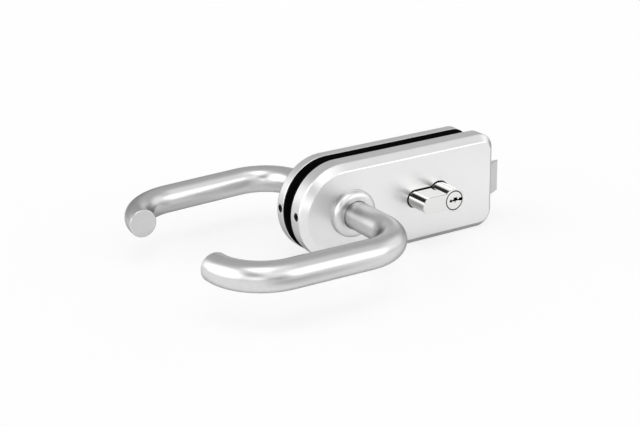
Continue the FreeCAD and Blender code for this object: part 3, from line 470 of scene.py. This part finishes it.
finishes = {
    "frontCoverSteel": {**satinSteel, "paintedShadeRecesses": (windowOf("front_cover"), holeOf("front_cover"))},
    "rearCoverSteel": {**satinSteel, "paintedShadeRecesses": (windowOf("rear_cover"), holeOf("rear_cover"))},
    "satinTube": {
        "colour": (0.77, 0.77, 0.77), "metallic": 1.0, "roughness": (0.28, 0.33), "edge": 0.0002,
        "tintDepth": 0.14, "cloudShare": 0.1,
        "stretch": (0.05, 1, 1), "grain": (3600, 0.0000015), "streak": (700, 0.000006),
        "wave": (45, 0.00003), "rim": (0.45, 0.95, 0.75),
    },
    "satinRose": {
        "colour": (0.80, 0.80, 0.80), "metallic": 1.0, "roughness": (0.31, 0.36), "edge": 0.0002,
        "grain": (3000, 0.000001), "wave": (60, 0.00002), "rim": (0.45, 0.9, 0.55),
    },
    "nickelPlate": {
        "colour": (0.84, 0.84, 0.83), "metallic": 1.0, "roughness": (0.03, 0.05), "edge": 0.00015,
        "grain": (2400, 0.0000003), "wave": (90, 0.000003), "paintedShadeRecesses": ({"ring": bodyRing},),
    },
    "plugNickel": {
        "colour": (0.86, 0.86, 0.85), "metallic": 1.0, "roughness": (0.10, 0.14), "edge": 0.0001,
        "grain": (2400, 0.0000006), "paintedShadeRecesses": ({"box": (keywayMiddle, keywayHalf), "ring": plugRing},),
    },
    "castNickel": {
        "colour": (0.60, 0.60, 0.60), "metallic": 1.0, "roughness": (0.32, 0.38), "edge": 0.0003,
        "stretch": (1, 1, 0.1), "grain": (2200, 0.000004), "wave": (90, 0.00001),
    },
    "zincSteel": {
        "colour": (0.60, 0.62, 0.64), "metallic": 1.0, "roughness": (0.30, 0.45), "edge": 0.0002,
        "stretch": (0.1, 1, 1),
    },
    "hardSteel": {
        "colour": (0.42, 0.42, 0.43), "metallic": 1.0, "roughness": (0.35, 0.5), "edge": 0.0002,
    },
    "blackSteel": {
        "colour": (0.02, 0.02, 0.021), "metallic": 0.9, "roughness": (0.3, 0.4), "edge": 0.0001,
    },
    "turnedBrass": {
        "colour": (0.72, 0.53, 0.25), "metallic": 1.0, "roughness": (0.2, 0.3), "edge": 0.0001,
        "grain": (2000, 0.000005),
    },
    "blackRubber": {
        "colour": (0.002, 0.002, 0.002), "metallic": 0.0, "roughness": (0.8, 0.9), "edge": 0.0002,
        "grain": (1200, 0.00002), "specular": 0.1,
    },
    "greyNylon": {
        "colour": (0.14, 0.14, 0.145), "metallic": 0.0, "roughness": (0.45, 0.55), "edge": 0.0002,
        "grain": (1000, 0.00001),
    },
}


def shadeRecess(tree, colour, recess):
    # paints shade: blackens the part of the colour that lies in the recess
    group = addNode(tree, "ShaderNodeGroup", node_tree=recessGroup)
    if "box" in recess:
        middle, half = recess["box"]
        group.inputs["Box Middle"].default_value = middle
        group.inputs["Box Half"].default_value = half
    if "ring" in recess:
        point, start, stop = recess["ring"]
        group.inputs["Axis Point"].default_value = point
        group.inputs["Ring From"].default_value = start
        group.inputs["Ring To"].default_value = stop
    dark = addNode(tree, "ShaderNodeMix", data_type="RGBA")
    tree.links.new(group.outputs["Shade"], dark.inputs["Factor"])
    tree.links.new(colour, dark.inputs["A"])
    dark.inputs["B"].default_value = paintedShadePlaces["colour"]
    return dark.outputs["Result"]


def makeFinish(name, given):
    v = {**plainFinish, **given}
    material = bpy.data.materials.new(name)
    material.use_nodes = True
    tree = material.node_tree
    shader = tree.nodes["Principled BSDF"]
    shader.inputs["Metallic"].default_value = v["metallic"]
    shader.inputs["Specular IOR Level"].default_value = v["specular"]
    marks = addNode(tree, "ShaderNodeGroup", node_tree=handlingGroup)
    marks.inputs["Low"].default_value, marks.inputs["High"].default_value = v["roughness"]
    roughness = marks.outputs["Value"]
    if "mirroredGloss" in v:
        # a satin face looks glossier where the bright cylinder mirrors it
        mirrored = addNode(tree, "ShaderNodeLightPath").outputs["Is Glossy Ray"]
        distance = distanceFrom(tree, cylinderMiddle)
        far = softStep(tree, distance, v["mirroredReach"], v["mirroredGloss"])
        near = doMath(tree, "SUBTRACT", v["mirroredGloss"], far)
        roughness = dimmed(tree, roughness, doMath(tree, "MULTIPLY", mirrored, near))
    bevel = addNode(tree, "ShaderNodeBevel", {"Radius": v["edge"]}, samples=v["edgeSamples"])
    if "edgeGloss" in v:
        # edges are worn smoother than the faces beside them
        turned = addNode(tree, "ShaderNodeVectorMath", operation="DOT_PRODUCT")
        tree.links.new(bevel.outputs["Normal"], turned.inputs[0])
        tree.links.new(addNode(tree, "ShaderNodeNewGeometry").outputs["True Normal"], turned.inputs[1])
        bend = doMath(tree, "SUBTRACT", 1.0, turned.outputs["Value"])
        worn = softStep(tree, bend, v["edgeBend"], v["edgeGloss"])
        roughness = dimmed(tree, roughness, worn)
    tree.links.new(roughness, shader.inputs["Roughness"])
    relief = addNode(tree, "ShaderNodeGroup", node_tree=grainGroup)
    relief.inputs["Stretch"].default_value = v["stretch"]
    for label in ("Grain", "Streak", "Wave"):
        scale, depth = v[label.lower()]
        relief.inputs[label + " Scale"].default_value = scale
        relief.inputs[label + " Depth"].default_value = depth
    cloud = addNode(tree, "ShaderNodeGroup", node_tree=handlingGroup)
    cloud.inputs["Scale"].default_value = v["cloudScale"]
    tint = addNode(tree, "ShaderNodeMix", data_type="RGBA")
    darker = [level * (1 - v["tintDepth"]) for level in v["colour"]]
    tint.inputs["A"].default_value = (*darker, 1)
    tint.inputs["B"].default_value = (*v["colour"], 1)
    patchy = doMath(tree, "MULTIPLY", cloud.outputs["Value"], v["cloudShare"])
    streaky = doMath(tree, "MULTIPLY", relief.outputs["Streaks"], 1 - v["cloudShare"])
    tree.links.new(doMath(tree, "ADD", patchy, streaky), tint.inputs["Factor"])
    colour = tint.outputs["Result"]
    if "rim" in v:
        # painted shade: the tint darkens where the surface turns away from the eye
        facing = addNode(tree, "ShaderNodeLayerWeight", {"Blend": 0.5}).outputs["Facing"]
        start, stop, share = v["rim"]
        rim = softStep(tree, facing, (start, stop), share)
        turned = addNode(tree, "ShaderNodeMix", data_type="RGBA")
        tree.links.new(rim, turned.inputs["Factor"])
        tree.links.new(colour, turned.inputs["A"])
        turned.inputs["B"].default_value = v["rimColour"]
        colour = turned.outputs["Result"]
    # painted shade in the recesses
    for recess in v["paintedShadeRecesses"]:
        colour = shadeRecess(tree, colour, recess)
    tree.links.new(colour, shader.inputs["Base Color"])
    bump = addNode(tree, "ShaderNodeBump", {"Strength": 1.0, "Distance": 1.0})
    tree.links.new(relief.outputs["Height"], bump.inputs["Height"])
    tree.links.new(bevel.outputs["Normal"], bump.inputs["Normal"])
    tree.links.new(bump.outputs["Normal"], shader.inputs["Normal"])
    return material


materials = {name: makeFinish(name, v) for name, v in finishes.items()}

finishOfNode = {
    "front_cover": "frontCoverSteel", "rear_cover": "rearCoverSteel",
    "front_lever": "satinTube", "rear_lever": "satinTube",
    "front_lever_cap": "satinTube", "rear_lever_cap": "satinTube",
    "front_rose": "satinRose", "rear_rose": "satinRose",
    "cylinder_body": "nickelPlate", "front_plug": "plugNickel", "rear_plug": "plugNickel",
    "lock_case_lid": "blackSteel", "rear_base_plate": "blackSteel",
    "latch_bolt": "castNickel",
    "front_gasket": "blackRubber", "rear_gasket": "blackRubber",
    "front_rose_bush": "greyNylon", "rear_rose_bush": "greyNylon", "latch_guide": "greyNylon",
    "spindle": "hardSteel", "follower": "hardSteel", "cylinder_cam": "hardSteel",
    "front_cover_screw": "blackSteel", "rear_cover_screw": "blackSteel",
    "front_lever_screw": "blackSteel", "rear_lever_screw": "blackSteel", "clamp_screws": "blackSteel",
    "front_key_pins": "turnedBrass", "rear_key_pins": "turnedBrass",
    "front_driver_pins": "turnedBrass", "rear_driver_pins": "turnedBrass",
}
for name, node in nodes.items():
    node.data.materials.clear()
    node.data.materials.append(materials[finishOfNode.get(name, "zincSteel")])
print("finishes given to every node")
